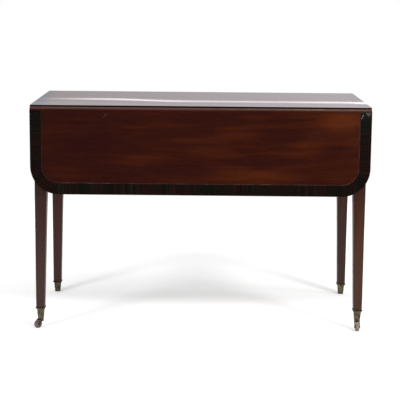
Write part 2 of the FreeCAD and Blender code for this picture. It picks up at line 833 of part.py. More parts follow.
# Fixed top: ovolo edges over the rule joints, with room for the hinges and the inlay
ovolo_x = joint_y + dim.rule_radius
ovolo_top = pivot_z + dim.rule_radius
top_outline = [
    (-joint_y, dim.table_height),
    (-joint_y, ovolo_top, (-joint_y, pivot_z), dim.rule_radius),
    (-ovolo_x, pivot_z),
    (-ovolo_x, underside),
    (ovolo_x, underside),
    (ovolo_x, pivot_z, (joint_y, pivot_z), dim.rule_radius),
    (joint_y, ovolo_top),
    (joint_y, dim.table_height),
]
top_blank = prism("top_blank", "YZ_Plane", top_outline, (-half_length, half_length))
top_tools = [tool for one in all_hinges for tool in one.top_room + one.short_screws]
keep(cut("top_board", top_blank, top_bands, top_strings, *top_tools, *top_screws))


# Legs with their brass caps
def leg(side, end, cap_low):
    """A square leg tapered on its two inner faces, its foot inside a brass cap."""
    sign_x, sign_y = ENDS[end], SIDES[side]
    corner = (sign_x * leg_x, sign_y * leg_y)
    middle = (corner[0] - sign_x * dim.ankle_square / 2, corner[1] - sign_y * dim.ankle_square / 2)
    cap_top = cap_low + dim.cap_height

    def inward(width):
        return (corner[0], corner[0] - sign_x * width), (corner[1], corner[1] - sign_y * width)

    def central(width):
        return about(middle[0], width), about(middle[1], width)

    name = f"leg_{side}_{end}"
    cavity_top = dim.cap_top_square - dim.cap_wall * 2
    cavity_low = dim.cap_low_square - dim.cap_wall * 2
    cavity_z = (cap_low + dim.cap_floor, cap_top)
    blank = fuse(
        f"{name}_blank",
        block(f"{name}_head", *inward(dim.leg_square), (frieze_low, underside)),
        taper(f"{name}_taper", (cap_top, frieze_low), inward(dim.ankle_square), inward(dim.leg_square)),
        taper(
            f"{name}_foot", (cavity_z[0] + dim.cap_fit, cap_top),
            central(cavity_low - dim.cap_fit * 2), central(cavity_top - dim.cap_fit * 2)),
    )
    end_rails = [end_rail] if end == "left" else [lower_rail, upper_rail]
    keep(cut(name, blank, inner_rails[side], *end_rails))

    collar = doc.addObject("PartDesign::Body", f"{name}_collar")
    sketch = new_sketch(collar, f"{name}_collar_outline", "XY_Plane", cap_top - dim.collar_height)
    (west, east), (south, north) = central(dim.collar_square)
    draw(sketch, [(west, south), (east, south), (east, north), (west, north)])
    pad = collar.newObject("PartDesign::Pad", f"{name}_collar_pad")
    pad.Profile = sketch
    bind(pad, "Length", dim.collar_height)
    doc.recompute()
    level_edges = [
        f"Edge{number}" for number, edge in enumerate(pad.Shape.Edges, 1)
        if abs(edge.Vertexes[0].Z - edge.Vertexes[1].Z) < edge.Length / 2
    ]
    bead = collar.newObject("PartDesign::Fillet", f"{name}_collar_bead")
    bead.Base = (pad, level_edges)
    bind(bead, "Radius", dim.collar_height * dim.collar_round_share)
    cap_ends = (central(dim.cap_low_square), central(dim.cap_top_square))
    shell = fuse(f"{name}_cap_shell", collar, taper(f"{name}_cap_body", (cap_low, cap_top), *cap_ends))
    hollow = taper(f"{name}_cap_hollow", cavity_z, central(cavity_low), central(cavity_top))
    return middle, shell, hollow


pintles = []


# Castors: a horn that swivels on a pintle under the cap, with a wheel on a riveted axle
def castor(end, middle):
    plate_top = dim.castor_height - dim.swivel_gap
    plate_low = plate_top - dim.horn_plate_thickness
    head_top = plate_low - dim.swivel_gap
    head_low = head_top - dim.pintle_head_thickness
    pintle_top = dim.castor_height + dim.cap_floor
    pintles.append(lathe(f"castor_pintle_{end}", "+z", (*middle, nothing), [
        (nothing, head_low),
        (dim.pintle_head_radius, head_low),
        (dim.pintle_head_radius, head_top),
        (dim.pintle_radius, head_top),
        (dim.pintle_radius, pintle_top),
        (nothing, pintle_top),
    ]))

    # Built with the wheel trailing along +X, then turned about the pintle
    axle = (dim.castor_trail, dim.wheel_radius)
    bow = plate_top - axle[1]
    bow_centre = (axle[0] + dim.horn_boss_radius - bow, axle[1])
    inner_bow = bow - dim.horn_boss_radius * 2
    cheek_outline = [
        (-dim.horn_root, plate_top),
        (bow_centre[0], plate_top, bow_centre, bow),
        (axle[0] + dim.horn_boss_radius, axle[1], axle, dim.horn_boss_radius),
        (axle[0], axle[1] - dim.horn_boss_radius, axle, dim.horn_boss_radius),
        (axle[0] - dim.horn_boss_radius, axle[1], bow_centre, inner_bow),
        (bow_centre[0], axle[1] + inner_bow),
        (-dim.horn_root, axle[1] + inner_bow),
    ]
    gap_half = dim.wheel_width / 2 + dim.wheel_side_gap
    fork_half = gap_half + dim.horn_cheek
    cheeks = [
        prism(f"castor_cheek_{end}_{label}", "XZ_Plane", cheek_outline, (sign * gap_half, sign * fork_half))
        for label, sign in ENDS.items()
    ]
    plate = rod(
        f"castor_plate_{end}", "+z", (nothing, nothing, plate_low),
        dim.horn_plate_radius, dim.horn_plate_thickness)
    bores = [
        rod(
            f"castor_swivel_bore_{end}", "+z", (nothing, nothing, plate_low),
            dim.pintle_radius + dim.pin_fit, dim.horn_plate_thickness),
        rod(
            f"castor_axle_bore_{end}", "+y", (axle[0], -fork_half, axle[1]),
            dim.axle_radius, fork_half * 2),
    ]
    horn = cut(f"castor_horn_{end}", fuse(f"castor_horn_{end}_blank", plate, *cheeks), *bores)

    head_y = fork_half + dim.axle_head_thickness
    axle_pin = fuse(
        f"castor_axle_{end}",
        rod(f"castor_axle_shaft_{end}", "+y", (axle[0], -head_y, axle[1]), dim.axle_radius, head_y * 2),
        *[
            rod(f"castor_axle_head_{end}_{label}", direction, (axle[0], sign * fork_half, axle[1]),
                dim.axle_head_radius, dim.axle_head_thickness)
            for (label, sign), direction in zip(ENDS.items(), ("-y", "+y"))
        ],
    )
    rim = dim.wheel_radius - dim.wheel_shoulder
    shoulder = dim.wheel_width / 2 - dim.wheel_shoulder
    tyre = lathe(f"castor_tyre_{end}", "+y", (axle[0], nothing, axle[1]), [
        (nothing, -dim.wheel_width / 2),
        (rim, -dim.wheel_width / 2, (rim, -shoulder), dim.wheel_shoulder),
        (dim.wheel_radius, -shoulder),
        (dim.wheel_radius, shoulder, (rim, shoulder), dim.wheel_shoulder),
        (rim, dim.wheel_width / 2),
        (nothing, dim.wheel_width / 2),
    ])
    wheel_bore = rod(
        f"castor_wheel_bore_{end}", "+y", (axle[0], -fork_half, axle[1]),
        dim.axle_radius + dim.pin_fit, fork_half * 2)
    wheel = cut(f"castor_wheel_{end}", tyre, wheel_bore)
    turn = dim.castor_turn_left if end == "left" else dim.castor_turn_right
    for solid in (horn, axle_pin, wheel):
        solid.Placement = Placement(Vector(), Rotation(Vector(0, 0, 1), turn.value))
        bind(solid, "Placement.Base.x", middle[0])
        bind(solid, "Placement.Base.y", middle[1])
        bind(solid, "Placement.Rotation.Angle", turn)
        keep(solid)


for end in ENDS:
    middle, shell, hollow = leg("front", end, dim.castor_height)
    castor(end, middle)
    keep(cut(f"castor_cap_{end}", shell, hollow, pintles[-1]))
    middle, shell, hollow = leg("back", end, nothing)
    keep(cut(f"foot_cap_{end}", shell, hollow))
keep(group("castor_pintles", pintles))

# Every object is checked before any sub-part is written
doc.recompute()
for thing in doc.Objects:
    if {"Invalid", "Error"} & set(thing.State):
        raise RuntimeError(f"{thing.Name} failed: {thing.State}")
os.makedirs("parts", exist_ok=True)
for part in parts:
    if part.Shape.isNull() or not part.Shape.isValid():
        raise RuntimeError(f"{part.Label} has no valid shape")
for part in parts:
    part.Shape.exportStep(f"parts/{part.Label}.step")
    print(f"{part.Label}: {len(part.Shape.Solids)} solids, {part.Shape.Volume:.0f} mm3")
print(f"{len(parts)} sub-parts")
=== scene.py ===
"""Looks of the pembroke table: polished mahogany, dark crossbands and worn brass in a white studio.

Metres, in the frame of the CAD part: X along the table, Y from the front leaf to the back leaf, Z up.
"""
import math
import bpy
from mathutils import Matrix, Vector


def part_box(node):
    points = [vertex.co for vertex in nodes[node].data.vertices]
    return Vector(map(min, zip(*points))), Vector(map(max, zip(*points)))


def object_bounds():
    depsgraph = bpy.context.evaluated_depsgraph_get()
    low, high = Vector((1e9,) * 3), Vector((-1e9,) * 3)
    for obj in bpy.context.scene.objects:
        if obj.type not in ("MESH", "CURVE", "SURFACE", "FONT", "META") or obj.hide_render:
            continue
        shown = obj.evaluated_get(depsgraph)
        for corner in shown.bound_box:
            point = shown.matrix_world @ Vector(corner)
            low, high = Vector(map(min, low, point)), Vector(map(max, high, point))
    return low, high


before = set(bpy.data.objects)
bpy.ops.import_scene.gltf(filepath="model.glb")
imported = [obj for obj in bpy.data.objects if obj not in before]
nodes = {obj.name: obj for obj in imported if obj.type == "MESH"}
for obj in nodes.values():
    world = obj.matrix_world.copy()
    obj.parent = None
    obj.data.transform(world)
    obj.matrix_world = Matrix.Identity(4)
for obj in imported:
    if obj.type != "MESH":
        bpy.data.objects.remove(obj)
cad_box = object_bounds()

MILLIMETRE = 0.001
WHITE = (1.0, 1.0, 1.0, 1.0)
BLACK = (0.0, 0.0, 0.0, 1.0)

# Sizes of the top, leaves and caps that their finish follows
LEAF_CORNER_RADIUS = 89 * MILLIMETRE
BAND_WIDTH = 36 * MILLIMETRE
TOP_HALF_WIDTH = 259 * MILLIMETRE
RULE_FILLET = 4.5 * MILLIMETRE
COLLAR_HEIGHT = 4.6 * MILLIMETRE

# Clear polish: its weight and roughness on the leaves and on the top, and its index of refraction
LEAF_POLISH = (0.5, 0.05)
TOP_POLISH = (1.0, 0.02)
POLISH_IOR = 1.5

# Worn edges: cosines of the normal's turn where wear starts and is full, and the rays that find it
WEAR_LIMITS = (0.985, 0.9)
WEAR_SAMPLES = 4

# Vector operations that give a number, and the value that noise lies round
NUMBER_OPERATIONS = ("DOT_PRODUCT", "LENGTH", "DISTANCE")
NOISE_MIDDLE = 0.5


class Finish:
    """A node material or world, with short calls for the nodes that the finishes share."""

    def __init__(self, name, library=bpy.data.materials, shader="Principled BSDF"):
        self.made = library.new(name)
        self.made.use_nodes = True
        self.tree = self.made.node_tree
        self.skin = self.tree.nodes[shader]

    def node(self, kind, settings=None, **inputs):
        """A new node. Inputs are named with underscores for spaces, and hold constants or sockets."""
        node = self.tree.nodes.new("ShaderNode" + kind)
        for setting, value in (settings or {}).items():
            setattr(node, setting, value)
        for name, value in inputs.items():
            self.feed(node.inputs[name.replace("_", " ")], value)
        return node

    def feed(self, socket, value):
        """Links a socket, or sets its own value where a constant comes in."""
        if isinstance(value, bpy.types.NodeSocket):
            self.tree.links.new(value, socket)
        else:
            socket.default_value = value

    def dress(self, **inputs):
        """Sets inputs of the surface shader."""
        for name, value in inputs.items():
            self.feed(self.skin.inputs[name.replace("_", " ")], value)
        return self.made

    def polish(self, coat, **inputs):
        """Sets inputs of a surface under clear polish, which comes as a weight and a roughness."""
        weight, roughness = coat
        self.dress(Coat_Weight=weight, Coat_Roughness=roughness, Coat_IOR=POLISH_IOR)
        return self.dress(Specular_IOR_Level=0.0, **inputs)

    def math(self, operation, *values, clamp=False):
        """A number from a math node."""
        node = self.node("Math", {"operation": operation, "use_clamp": clamp})
        for socket, value in zip(node.inputs, values):
            self.feed(socket, value)
        return node.outputs[0]

    def plus(self, first, second):
        return self.math("ADD", first, second)

    def minus(self, first, second):
        return self.math("SUBTRACT", first, second)

    def times(self, first, second):
        return self.math("MULTIPLY", first, second)

    def vector(self, operation, *values):
        """A vector, or for some operations a number, from a vector math node."""
        node = self.node("VectorMath", {"operation": operation})
        for socket, value in zip(node.inputs, values):
            self.feed(socket, value)
        return node.outputs["Value" if operation in NUMBER_OPERATIONS else "Vector"]

    def place(self):
        """The point of the surface, in the frame of the part."""
        return self.node("TexCoord").outputs["Object"]

    def split(self, place):
        """The x, y and z of a point."""
        return self.node("SeparateXYZ", Vector=place).outputs

    def join(self, x, y, z=0.0):
        """A vector from its x, y and z."""
        return self.node("CombineXYZ", X=x, Y=y, Z=z).outputs[0]

    def noise(self, place, scale, detail=2.0, roughness=0.5):
        """Soft noise from about 0 to 1, with three scales in cycles per metre."""
        stretched = self.vector("MULTIPLY", place, scale)
        texture = self.node("TexNoise", Vector=stretched, Scale=1.0, Detail=detail, Roughness=roughness)
        return texture.outputs[0]

    def step(self, value, low, high):
        """A smooth step from 0 at low to 1 at high."""
        settings = {"interpolation_type": "SMOOTHSTEP"}
        return self.node("MapRange", settings, Value=value, From_Min=low, From_Max=high).outputs[0]

    def zone(self, value, origin, start, end):
        """A smooth step from 0 to 1 between two distances from an origin, in millimetres."""
        return self.step(value, origin + start * MILLIMETRE, origin + end * MILLIMETRE)

    def span(self, value, low, high):
        """A share from 0 to 1 as a value from low to high."""
        return self.node("MapRange", Value=value, To_Min=low, To_Max=high).outputs[0]

    def mix(self, share, low, high):
        """A colour between two colours."""
        node = self.node("Mix", {"data_type": "RGBA"})
        colour_inputs = [socket for socket in node.inputs if socket.type == "RGBA"]
        self.feed(node.inputs["Factor"], share)
        for socket, colour in zip(colour_inputs, (low, high)):
            self.feed(socket, (*colour, 1.0) if isinstance(colour, tuple) else colour)
        return next(socket for socket in node.outputs if socket.type == "RGBA")

    def ramp(self, share, *stops):
        """A colour ramp through (position, colour) stops."""
        node = self.node("ValToRGB", Fac=share)
        elements = node.color_ramp.elements
        while len(elements) < len(stops):
            elements.new(1.0)
        for element, (position, colour) in zip(elements, stops):
            element.position = position
            element.color = (*colour, 1.0)
        return node.outputs[0]

    def dim(self, colour, factor):
        """A colour times a number: darker under 1 and lighter over 1."""
        return self.vector("MULTIPLY", colour, self.join(factor, factor, factor))

    def bump(self, height, distance):
        """A surface raised by a height from 0 to 1 times a distance."""
        return self.node("Bump", Strength=1.0, Distance=distance, Height=height).outputs[0]

    def edges(self, radius):
        """A mask that is 1 along sharp edges and 0 on flats."""
        rounded = self.node("Bevel", {"samples": WEAR_SAMPLES}, Radius=radius).outputs[0]
        flat = self.node("NewGeometry").outputs["Normal"]
        return self.step(self.vector("DOT_PRODUCT", rounded, flat), *WEAR_LIMITS)


def all_round(scale):
    """One noise scale for all three directions."""
    return (scale, scale, scale)


# Boards: the axes with the grain's own first, and the step in the pattern from one board to the next
GRAIN_ORDER = {"x": "XYZ", "y": "YZX", "z": "ZXY"}
BOARD_SHIFT = (1.37, 0.73, 2.11)

# Pattern of all wood: noise scales along and across the grain, and how much each kind of mark does
WANDER_SCALE = (1.7, 6.0, 6.0)
WANDER_REACH = 0.05
STREAK_SCALE = (3.0, 46.0, 46.0)
CLOUD_SCALE = (2.2, 9.0, 9.0)
FIGURE_STOPS = (0.28, 0.5, 0.78)
FIBRE_SCALE = (9.0, 420.0, 420.0)
FIBRE_FACTORS = (0.64, 1.36)
PORE_SCALE = (42.0, 1300.0, 1300.0)
PORE_LIMITS = (0.60, 0.72)
PORE_FACTOR = 0.62


def grain(finish, along, seed):
    """The point as (along the grain, across it, across it), moved to a board of its own by a seed."""
    parts = finish.split(finish.place())
    turned = finish.join(*(parts[letter] for letter in GRAIN_ORDER[along]))
    return finish.vector("ADD", turned, tuple(shift * seed for shift in BOARD_SHIFT))


def timber(finish, place, tones, shift=None):
    """Colour, figure and pores of a board from its grain place and three tones, dark to light."""
    wander = finish.noise(place, WANDER_SCALE)
    sway = finish.times(finish.minus(wander, NOISE_MIDDLE), WANDER_REACH)
    bent = finish.vector("ADD", place, finish.join(0.0, sway, sway))
    streaks = finish.noise(bent, STREAK_SCALE, detail=4.0)
    clouds = finish.noise(bent, CLOUD_SCALE, detail=3.0)
    figure = finish.plus(finish.times(streaks, 0.5), finish.times(clouds, 0.5))
    if shift is not None:
        figure = finish.plus(figure, shift)
    colour = finish.ramp(figure, *zip(FIGURE_STOPS, tones))
    fibre = finish.noise(bent, FIBRE_SCALE)
    colour = finish.dim(colour, finish.span(fibre, *FIBRE_FACTORS))
    pore = finish.step(finish.noise(place, PORE_SCALE, detail=1.0), *PORE_LIMITS)
    colour = finish.dim(colour, finish.span(pore, 1.0, PORE_FACTOR))
    return colour, figure, pore


# Tones of each wood, dark to light
FIELD_TONES = ((0.0225, 0.0050, 0.0052), (0.0370, 0.0075, 0.0046), (0.0950, 0.0200, 0.0052))
TOP_TONES = ((0.0380, 0.0100, 0.0080), (0.0640, 0.0160, 0.0105), (0.1150, 0.0330, 0.0170))
LEG_TONES = ((0.0230, 0.0085, 0.0070), (0.0460, 0.0140, 0.0096), (0.0770, 0.0245, 0.0150))
RAW_TONES = ((0.050, 0.024, 0.0150), (0.085, 0.040, 0.0240), (0.130, 0.062, 0.0370))
PLAIN_WOOD_TONES = {
    "oak": ((0.120, 0.066, 0.0300), (0.210, 0.122, 0.0580), (0.300, 0.185, 0.0920)),
    "beech": ((0.170, 0.092, 0.0440), (0.270, 0.158, 0.0800), (0.350, 0.215, 0.1150)),
}

# Patches of the front leaf's figure: x, z, half length, half height, and how much lighter each is
FRONT_LEAF_PATCHES = (
    (0.445, 0.674, 0.080, 0.034, 0.27),
    (0.27, 0.634, 0.150, 0.020, -0.15),
    (0.33, 0.592, 0.090, 0.028, 0.04),
    (0.43, 0.590, 0.090, 0.060, -0.10),
    (0.38, 0.510, 0.100, 0.030, -0.02),
    (0.22, 0.670, 0.130, 0.030, -0.08),
    (0.13, 0.503, 0.160, 0.036, 0.13),
    (0.0, 0.685, 0.140, 0.030, -0.09),
    (-0.10, 0.490, 0.120, 0.024, 0.10),
    (-0.19, 0.555, 0.130, 0.036, 0.13),
    (-0.21, 0.635, 0.090, 0.024, 0.09),
    (-0.32, 0.590, 0.090, 0.025, 0.06),
    (-0.43, 0.515, 0.080, 0.030, 0.08),
    (-0.44, 0.665, 0.060, 0.030, 0.06),
)

# Shares of a patch's size where it starts and where it is full, and the leaf's drift from left to right
PATCH_LIMITS = (1.35, 0.15)
LEAF_DRIFT_X = (-0.4, 0.5)
LEAF_DRIFT = (-0.03, 0.02)


def front_leaf_figure(finish):
    """How much lighter or darker the front leaf's figure is than an even board, place by place."""
    x, _, z = finish.split(finish.place())
    total = finish.span(finish.step(x, *LEAF_DRIFT_X), *LEAF_DRIFT)
    for patch_x, patch_z, half_length, half_height, lift in FRONT_LEAF_PATCHES:
        off_x = finish.math("DIVIDE", finish.minus(x, patch_x), half_length)
        off_z = finish.math("DIVIDE", finish.minus(z, patch_z), half_height)
        inside = finish.step(finish.vector("LENGTH", finish.join(off_x, off_z)), *PATCH_LIMITS)
        total = finish.plus(total, finish.times(inside, lift))
    return total


# Scratches on the front leaf: both ends (x, z), and on the band also the half width and the tone of each
FIELD_SCRATCHES = (
    ((-0.297, 0.696), (-0.303, 0.682)),
    ((-0.289, 0.696), (-0.299, 0.688)),
)
FIELD_SCRATCH_HALF_WIDTH = 1.0 * MILLIMETRE
FIELD_SCRATCH_TONE = (0.16, 0.10, 0.085)
FIELD_SCRATCH_SHARE = 0.3
BAND_SCRATCHES = (
    ((0.5060, 0.699), (0.5005, 0.687), 0.8 * MILLIMETRE, (0.42, 0.39, 0.38)),
    ((0.5150, 0.703), (0.5300, 0.702), 1.6 * MILLIMETRE, (0.17, 0.155, 0.14)),
    ((0.5190, 0.698), (0.5250, 0.696), 1.3 * MILLIMETRE, (0.14, 0.125, 0.115)),
)
SCRATCH_CORE = 0.3

# Grey scuffs on the front leaf's band
SCUFF_X = (0.500, 0.512)
SCUFF_Z = (0.682, 0.696)
SCUFF_SCALE = 340.0
SCUFF_LIMITS = (0.52, 0.66)
SCUFF_TONE = (0.050, 0.052, 0.056)


def scratch(finish, start, end, half_width):
    """A mask of one straight scratch on the front leaf, between two points (x, z)."""
    x, _, z = finish.split(finish.place())
    run = Vector((end[0] - start[0], end[1] - start[1], 0.0))
    offset = finish.vector("SUBTRACT", finish.join(x, z), (start[0], start[1], 0.0))
    along = finish.vector("DOT_PRODUCT", offset, run)
    share = finish.math("DIVIDE", along, run.length_squared, clamp=True)
    nearest = finish.vector("MULTIPLY", finish.join(share, share, share), run)
    distance = finish.vector("DISTANCE", offset, nearest)
    return finish.step(distance, half_width, half_width * SCRATCH_CORE)


def field_scratches(finish, colour):
    """The faint forked scratch high on the left of the front leaf."""
    for start, end in FIELD_SCRATCHES:
        mask = scratch(finish, start, end, FIELD_SCRATCH_HALF_WIDTH)
        colour = finish.mix(finish.times(mask, FIELD_SCRATCH_SHARE), colour, FIELD_SCRATCH_TONE)
    return colour


def band_chips(finish, colour):
    """The pale scratches and grey scuffs high on the right of the front leaf's band."""
    x, _, z = finish.split(finish.place())
    corner = finish.times(finish.step(x, *SCUFF_X), finish.step(z, *SCUFF_Z))
    speckle = finish.noise(finish.place(), all_round(SCUFF_SCALE), detail=3.0, roughness=0.6)
    flecks = finish.step(speckle, *SCUFF_LIMITS)
    colour = finish.mix(finish.times(corner, flecks), colour, SCUFF_TONE)
    for start, end, half_width, tone in BAND_SCRATCHES:
        colour = finish.mix(scratch(finish, start, end, half_width), colour, tone)
    return colour


# Painted shade on the rule joint's fillets, in millimetres out from the top's side and up from the
# fillet's foot
FILLET_SHADE_OUT = (-0.4, -0.1)
FILLET_SHADE_UP = (-1.6, -0.6)
FILLET_SHADE_FACTOR = 0.12

# Painted highlight on the rule joint's rounds, by the same measures, with tones at the left and at the
# right
ROUND_HIGHLIGHT_OUT = (2.6, 4.2)
ROUND_HIGHLIGHT_UP = (-6.0, -3.6)
ROUND_HIGHLIGHT_SCALE = 26.0
ROUND_HIGHLIGHT_LIMITS = (0.2, 0.75)
ROUND_HIGHLIGHT_X = (0.0, 0.35)
ROUND_HIGHLIGHT_TONES = ((0.060, 0.027, 0.022), (0.142, 0.064, 0.051))


def rule_joint_shade_and_highlight(finish, colour):
    """Painted shade on the upright fillets of the top's long edges, and a patchy painted highlight on
    the rounds below.
    """
    x, y, z = finish.split(finish.place())
    reach = finish.math("ABSOLUTE", y)
    fillet_low = cad_box[1].z - RULE_FILLET
    # Painted shade on the upright fillet under the top's edge
    upright = finish.zone(reach, TOP_HALF_WIDTH, *FILLET_SHADE_OUT)
    fillet = finish.times(upright, finish.zone(z, fillet_low, *FILLET_SHADE_UP))
    colour = finish.dim(colour, finish.span(fillet, 1.0, FILLET_SHADE_FACTOR))
    # Painted highlight on the rounds, in patches, paler at the right
    ovolo = finish.zone(reach, TOP_HALF_WIDTH, *ROUND_HIGHLIGHT_OUT)
    crown = finish.times(ovolo, finish.zone(z, fillet_low, *ROUND_HIGHLIGHT_UP))
    patch = finish.noise(finish.place(), all_round(ROUND_HIGHLIGHT_SCALE), detail=4.0, roughness=0.6)
    wear_and_highlight = finish.times(crown, finish.step(patch, *ROUND_HIGHLIGHT_LIMITS))
    pale = finish.mix(finish.step(x, *ROUND_HIGHLIGHT_X), *ROUND_HIGHLIGHT_TONES)
    return finish.mix(wear_and_highlight, colour, pale)


# Polished mahogany: its worn edges, its roughness under the polish and its pores
POLISHED_WEAR = 1.0 * MILLIMETRE
POLISHED_WEAR_SCALE = 30.0
POLISHED_WEAR_SHARE = 0.6
POLISHED_ROUGHNESS = (0.30, 0.46)
POLISHED_PORE_ROUGHNESS = 0.12
POLISHED_PORE_DEPTH = 0.12 * MILLIMETRE

# Waxed mahogany: the same, the grey it turns towards the bottom and the heights where the grey starts
# and is full
WAXED_WEAR = 1.8 * MILLIMETRE
WAXED_WEAR_SCALE = (22.0, 40.0, 40.0)
WAXED_ROUGHNESS = (0.34, 0.50)
WAXED_PORE_ROUGHNESS = 0.15
WAXED_PORE_DEPTH = 0.15 * MILLIMETRE
WAXED_SPECULAR = 0.25
LOW_GREY_TONE = (0.062, 0.045, 0.042)
LOW_GREY_SHARE = 0.30
LOW_GREY_Z = (0.46, 0.10)

# Bare wood: its dust and the marks of the saw
DUST_SCALE = 9.0
DUST_FACTORS = (0.7, 1.25)
SAW_SCALE = (420.0, 14.0, 14.0)
SAW_DEPTH = 0.15 * MILLIMETRE
BARE_ROUGHNESS = (0.62, 0.85)
BARE_SPECULAR = 0.3


def polished_mahogany(name, along, seed, tones=FIELD_TONES, polish=LEAF_POLISH, shift=None, marks=None):
    """Mahogany under old French polish: a smooth clear coat over a figured board."""
    finish = Finish(name)
    place = grain(finish, along, seed)
    colour, figure, pore = timber(finish, place, tones, shift and shift(finish))
    wear_and_highlight = finish.times(finish.edges(POLISHED_WEAR), finish.noise(place, all_round(POLISHED_WEAR_SCALE)))
    colour = finish.mix(finish.times(wear_and_highlight, POLISHED_WEAR_SHARE), colour, tones[2])
    if marks:
        colour = marks(finish, colour)
    smooth = finish.span(figure, *POLISHED_ROUGHNESS)
    roughness = finish.plus(smooth, finish.times(pore, POLISHED_PORE_ROUGHNESS))
    return finish.polish(
        polish, Base_Color=colour, Roughness=roughness, Normal=finish.bump(pore, -POLISHED_PORE_DEPTH))


def waxed_mahogany(name, along, seed, hue):
    """Mahogany with its polish rubbed down to satin wax, as on the legs and rails, greyer and paler
    towards the bottom.
    """
    finish = Finish(name)
    place = grain(finish, along, seed)
    colour, figure, pore = timber(finish, place, LEG_TONES)
    # Greyer and paler towards the bottom
    low = finish.step(finish.split(finish.place())["Z"], *LOW_GREY_Z)
    greyed_low = finish.mix(finish.times(low, LOW_GREY_SHARE), colour, LOW_GREY_TONE)
    colour = finish.vector("MULTIPLY", greyed_low, hue)
    wear_and_highlight = finish.times(finish.edges(WAXED_WEAR), finish.noise(place, WAXED_WEAR_SCALE))
    colour = finish.mix(wear_and_highlight, colour, LEG_TONES[2])
    smooth = finish.span(figure, *WAXED_ROUGHNESS)
    roughness = finish.plus(smooth, finish.times(pore, WAXED_PORE_ROUGHNESS))
    return finish.dress(
        Base_Color=colour, Roughness=roughness, Specular_IOR_Level=WAXED_SPECULAR,
        Normal=finish.bump(pore, -WAXED_PORE_DEPTH))


def bare_timber(name, along, seed, tones):
    """Unpolished wood: the inner faces of the mahogany, and the oak and beech inside."""
    finish = Finish(name)
    place = grain(finish, along, seed)
    colour, figure, pore = timber(finish, place, tones)
    dust = finish.noise(finish.place(), all_round(DUST_SCALE), detail=4.0, roughness=0.6)
    colour = finish.dim(colour, finish.span(dust, *DUST_FACTORS))
    saw = finish.noise(place, SAW_SCALE)
    height = finish.plus(finish.times(saw, 0.5), finish.times(pore, -0.5))
    return finish.dress(
        Base_Color=colour, Roughness=finish.span(figure, *BARE_ROUGHNESS),
        Specular_IOR_Level=BARE_SPECULAR, Normal=finish.bump(height, SAW_DEPTH))


# Crossbands: noise scales along and across the band, and how much each kind of streak does
BAND_GROUP_SCALE = (11.0, 1.0, 1.0)
BAND_GROUP_LIMITS = (0.42, 0.64)
BAND_GROUP_FACTORS = (0.16, 0.60)
BAND_LINE_SCALE = (170.0, 4.0, 1.0)
BAND_FINE_SCALE = (420.0, 8.0, 1.0)
BAND_FINE_SHARE = 0.14
BAND_STREAK_BASE = 0.43
BAND_STOPS = (
    (0.36, (0.0052, 0.0026, 0.0022)),
    (0.52, (0.0108, 0.0058, 0.0046)),
    (0.70, (0.0212, 0.0168, 0.0112)),
)
BAND_ROUGHNESS = (0.28, 0.48)

# Cool and warm stretches of a crossband, as factors of red, green and blue, and its worn edges
BAND_WARMTH_SCALE = (15.0, 1.0, 1.0)
BAND_WARMTH_LIMITS = (0.36, 0.64)
BAND_WARMTH_FACTORS = ((0.66, 1.22), (1.04, 1.0), (0.92, 1.08))
BAND_WEAR = 1.2 * MILLIMETRE
BAND_WEAR_SCALE = (60.0, 60.0, 1.0)
BAND_WEAR_TONE = (0.110, 0.072, 0.043)

# Stringing: its tones, and the stretch at the left end where it darkens
LINE_SCALE = 35.0
LINE_STOPS = (
    (0.36, (0.024, 0.0125, 0.0095)),
    (0.52, (0.046, 0.0235, 0.0180)),
    (0.7, (0.096, 0.052, 0.040)),
)
LINE_ROUGHNESS = (0.3, 0.5)
LINE_DARK_X = (-0.40, -0.49)
LINE_DARK_FACTOR = 0.5


def band_run(finish, node_name):
    """How far along a leaf's U-shaped band a point lies, and how far out from its bends' centres."""
    low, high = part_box(node_name)
    reach = high.x - LEAF_CORNER_RADIUS
    bend_z = low.z + LEAF_CORNER_RADIUS
    x, _, z = finish.split(finish.place())
    centre_x = finish.math("MAXIMUM", finish.math("MINIMUM", x, reach), -reach)
    centre_z = finish.math("MAXIMUM", z, bend_z)
    off_x = finish.minus(x, centre_x)
    off_z = finish.minus(centre_z, z)
    turn = finish.math("ARCTAN2", off_x, off_z)
    bend_run = finish.times(turn, LEAF_CORNER_RADIUS - BAND_WIDTH / 2)
    rise = finish.times(finish.minus(centre_z, bend_z), finish.math("SIGN", x))
    run = finish.plus(finish.plus(centre_x, bend_run), rise)
    return run, finish.vector("LENGTH", finish.join(off_x, off_z))


def end_run(finish, _node_name):
    """The same for the straight bands across the ends of the top, which need no box."""
    x, y, _ = finish.split(finish.place())
    return y, finish.math("ABSOLUTE", x)


def crossband(name, run_of, polish, marks=None):
    """Near-black veneer with its grain across the band, streaked in groups, warm and cool in turn."""
    finish = Finish(name)
    place = finish.join(*run_of(finish, name))
    group = finish.step(finish.noise(place, BAND_GROUP_SCALE, detail=1.0), *BAND_GROUP_LIMITS)
    lines = finish.noise(place, BAND_LINE_SCALE, roughness=0.6)
    fine = finish.noise(place, BAND_FINE_SCALE, roughness=0.6)
    lively = finish.times(finish.minus(lines, NOISE_MIDDLE), finish.span(group, *BAND_GROUP_FACTORS))
    streak = finish.plus(lively, finish.plus(finish.times(fine, BAND_FINE_SHARE), BAND_STREAK_BASE))
    colour = finish.ramp(streak, *BAND_STOPS)
    warmth = finish.step(finish.noise(place, BAND_WARMTH_SCALE), *BAND_WARMTH_LIMITS)
    hue = finish.join(*(finish.span(warmth, cool, warm) for cool, warm in BAND_WARMTH_FACTORS))
    colour = finish.vector("MULTIPLY", colour, hue)
    wear_and_highlight = finish.times(finish.edges(BAND_WEAR), finish.noise(place, BAND_WEAR_SCALE))
    colour = finish.mix(wear_and_highlight, colour, BAND_WEAR_TONE)
    if marks:
        colour = marks(finish, colour)
    return finish.polish(polish, Base_Color=colour, Roughness=finish.span(streak, *BAND_ROUGHNESS))


